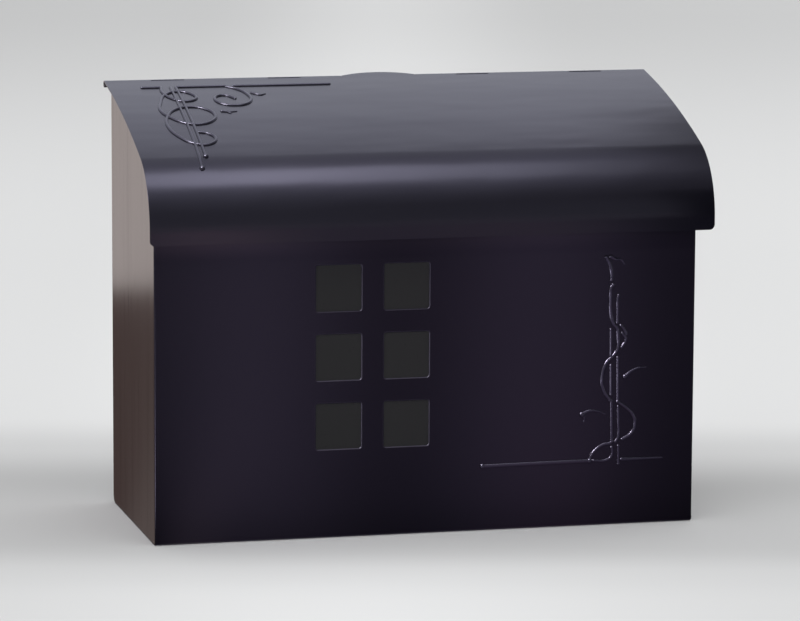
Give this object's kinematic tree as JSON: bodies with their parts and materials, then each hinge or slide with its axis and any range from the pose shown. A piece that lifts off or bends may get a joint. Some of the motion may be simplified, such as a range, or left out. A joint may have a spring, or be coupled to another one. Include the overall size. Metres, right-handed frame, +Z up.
{
  "type": "wall mounted mailbox",
  "caption": "Folded steel mailbox for a wall, with a curved overhanging lid on a rolled rear hinge and square cut-outs backed by a dark pane in the front.",
  "frame": {"origin": "on the wall plane, at the middle of the back plate, halfway up it", "axes": "+Z up, -Y out of the wall towards the person who posts, +X to that person's right"},
  "size_m": [0.414, 0.185, 0.3181],
  "materials": {
    "dark_bronze": "dark bronze satin lacquer over brushed sheet steel",
    "zinc_steel": "bright zinc-plated steel",
    "smoked_pane": "dark smoked plastic sheet, satin",
    "black_rubber": "matt black moulded rubber"
  },
  "bodies": {
    "box": {"front_bottom_sheet": "dark_bronze", "side_panel_right": "dark_bronze", "side_panel_left": "dark_bronze", "back_plate": "dark_bronze", "window_pane": "smoked_pane", "pane_stud_lower_left": "zinc_steel", "pane_stud_lower_right": "zinc_steel", "pane_stud_upper_left": "zinc_steel", "pane_stud_upper_right": "zinc_steel", "push_nut_lower_left": "zinc_steel", "push_nut_lower_right": "zinc_steel", "push_nut_upper_left": "zinc_steel", "push_nut_upper_right": "zinc_steel", "lid_bumper_left": "black_rubber", "lid_bumper_right": "black_rubber"},
    "lid": {"lid_sheet": "dark_bronze", "hinge_rod": "zinc_steel"}
  },
  "joints": [
    {"name": "lid_hinge", "type": "hinge", "parent": "box", "child": "lid", "pos_m": [0, -0.0083, 0.15795], "axis": [-1, 0, 0], "range_deg": [0, 105]}
  ]
}
